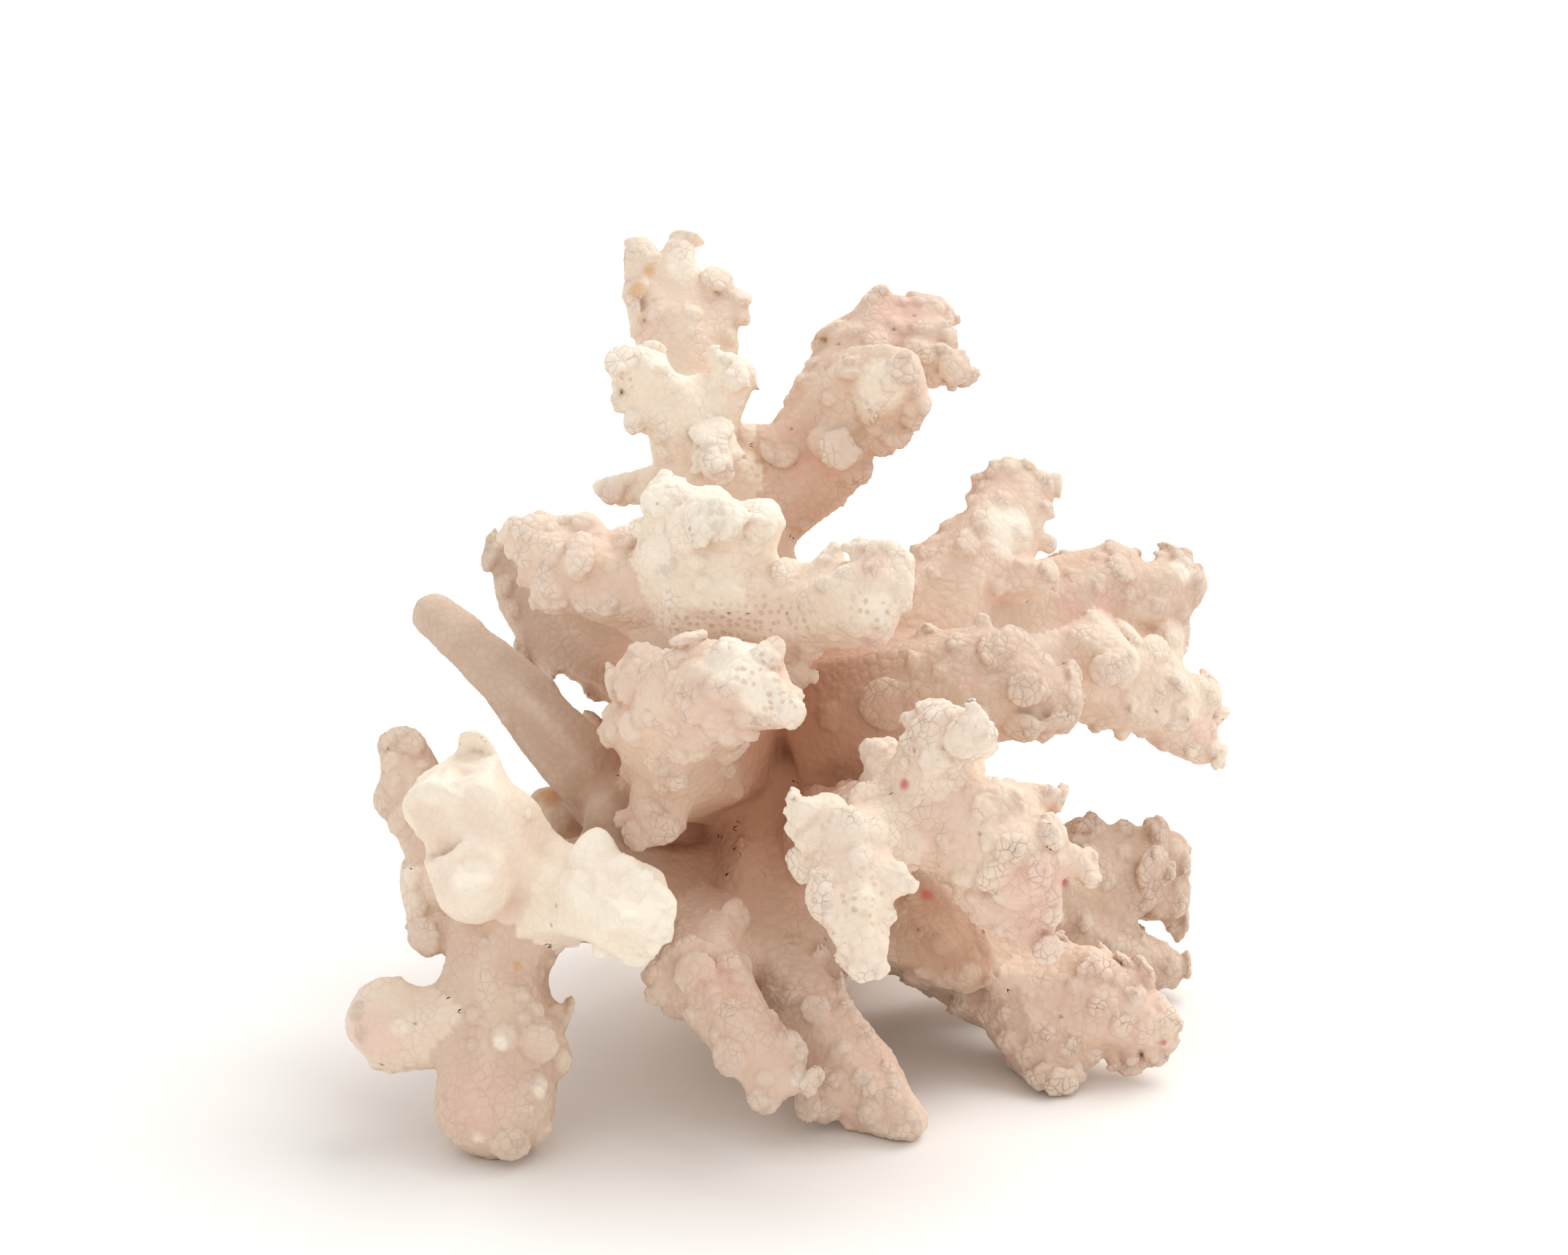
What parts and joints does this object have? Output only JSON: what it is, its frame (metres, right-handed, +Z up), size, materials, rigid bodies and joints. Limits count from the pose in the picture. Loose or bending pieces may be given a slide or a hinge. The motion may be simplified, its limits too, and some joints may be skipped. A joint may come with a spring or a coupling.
{
  "type": "branching coral skeleton",
  "caption": "Dry bleached branching reef coral skeleton, pale peach, with knobbly forked branches spreading from a thick trunk that is cut flat.",
  "frame": {"origin": "centre of the flat cut under the trunk, on the surface that the coral stands on", "axes": "+X to the right and -Y toward the eye as in the picture, +Z up"},
  "size_m": [0.1205, 0.1128, 0.1061],
  "materials": {
    "coral_peach": "matte, pale peach, finely porous",
    "coral_cream": "matte, bleached cream, finely porous",
    "coral_rose": "matte, pale pink-beige, finely porous",
    "coral_shade": "matte, greyer beige, finely porous"
  },
  "bodies": {
    "root": {"trunk": "coral_rose", "crown_stem": "coral_rose", "fan_middle_branch": "coral_peach", "fan_left_branch": "coral_peach", "fan_right_branch": "coral_peach", "front_left_branch": "coral_cream", "back_left_branch": "coral_shade", "slender_finger": "coral_rose", "back_stub": "coral_peach", "crown_right_branch": "coral_rose", "crown_left_branch": "coral_cream", "crown_back_branch": "coral_cream", "right_mid_branch": "coral_rose", "right_upper_branch": "coral_peach", "right_back_branch": "coral_rose", "right_far_branch": "coral_peach", "right_front_branch": "coral_rose", "right_front_finger": "coral_rose", "right_front_thumb": "coral_cream", "right_shelf": "coral_rose", "right_leg": "coral_rose", "right_low_arm": "coral_rose", "right_low_fan": "coral_shade", "front_leg": "coral_rose", "front_left_leg": "coral_rose", "left_bridge": "coral_peach", "left_column": "coral_peach", "left_low_arm": "coral_peach", "left_up_arm": "coral_cream", "left_broken_arm": "coral_cream", "left_back_arm": "coral_peach", "left_back_knob": "coral_peach", "back_upper_branch": "coral_shade", "back_right_branch": "coral_shade", "back_left_fork": "coral_shade", "back_low_branch": "coral_shade"}
  },
  "joints": []
}
